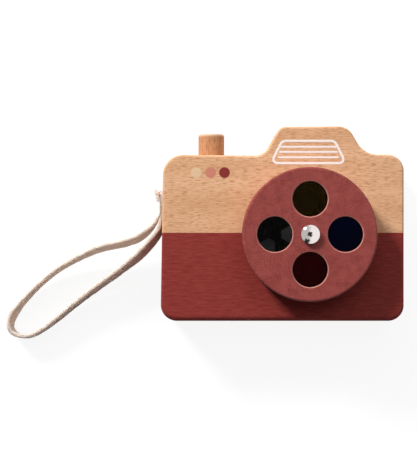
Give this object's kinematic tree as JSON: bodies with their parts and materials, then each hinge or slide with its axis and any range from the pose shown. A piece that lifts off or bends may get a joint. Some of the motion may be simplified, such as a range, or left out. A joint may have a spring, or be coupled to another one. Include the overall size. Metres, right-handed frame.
{
  "type": "toy camera",
  "caption": "Wooden toy camera: a half-painted beech block with a turning lens disc of coloured filters, a sprung shutter button and a cotton wrist strap.",
  "frame": {"origin": "Middle of the box round the back face, on that face, with the wrist strap left out: the toy lies on its back on z = 0", "axes": "+Z out of the lens, up as the toy lies; +Y from the base to the hump; +X to the right as seen from the front, away from the strap"},
  "size_m": [0.1996, 0.1073, 0.0486],
  "materials": {
    "beech_block": "oiled beech, its lower half in matt dark red paint",
    "painted_wood": "matt dark red paint over turned wood",
    "yellow_acrylic": "clear tinted",
    "blue_acrylic": "clear tinted",
    "red_acrylic": "clear tinted",
    "smoke_acrylic": "clear grey, cut in facets",
    "ring_plastic": "matt black",
    "plain_steel": "plain",
    "bright_chrome": "polished",
    "grey_felt": "pressed felt",
    "beech_dowel": "oiled beech, grain along its length",
    "cotton_tape": "undyed woven cotton",
    "screw_steel": "zinc plated",
    "white_ink": "printed ink, matt",
    "cream_ink": "printed ink, matt",
    "pink_ink": "printed ink, matt",
    "burgundy_ink": "printed ink, matt"
  },
  "bodies": {
    "block": {"body": "beech_block", "axle_pin": "plain_steel", "axle_cap": "bright_chrome", "felt_washer": "grey_felt", "cap_washer": "plain_steel", "button_spring": "plain_steel", "button_pin": "plain_steel", "strap": "cotton_tape", "strap_screw": "screw_steel"},
    "lens": {"lens_disc": "painted_wood", "filter_yellow": "yellow_acrylic", "filter_blue": "blue_acrylic", "filter_red": "red_acrylic", "filter_faceted": "smoke_acrylic", "filter_ring_top": "ring_plastic", "filter_ring_right": "ring_plastic", "filter_ring_bottom": "ring_plastic", "filter_ring_left": "ring_plastic"},
    "button": {"shutter_button": "beech_dowel"}
  },
  "joints": [
    {"name": "lens_turn", "type": "hinge", "parent": "block", "child": "lens", "pos_m": [0.0125, -0.00515, 0.038], "axis": [0, 0, 1], "continuous": true},
    {"name": "button_press", "type": "slide", "parent": "block", "child": "button", "axis": [0, -1, 0], "range_m": [0, 0.004], "stiffness_N_per_m": 200, "deforming": ["button_spring"]}
  ]
}
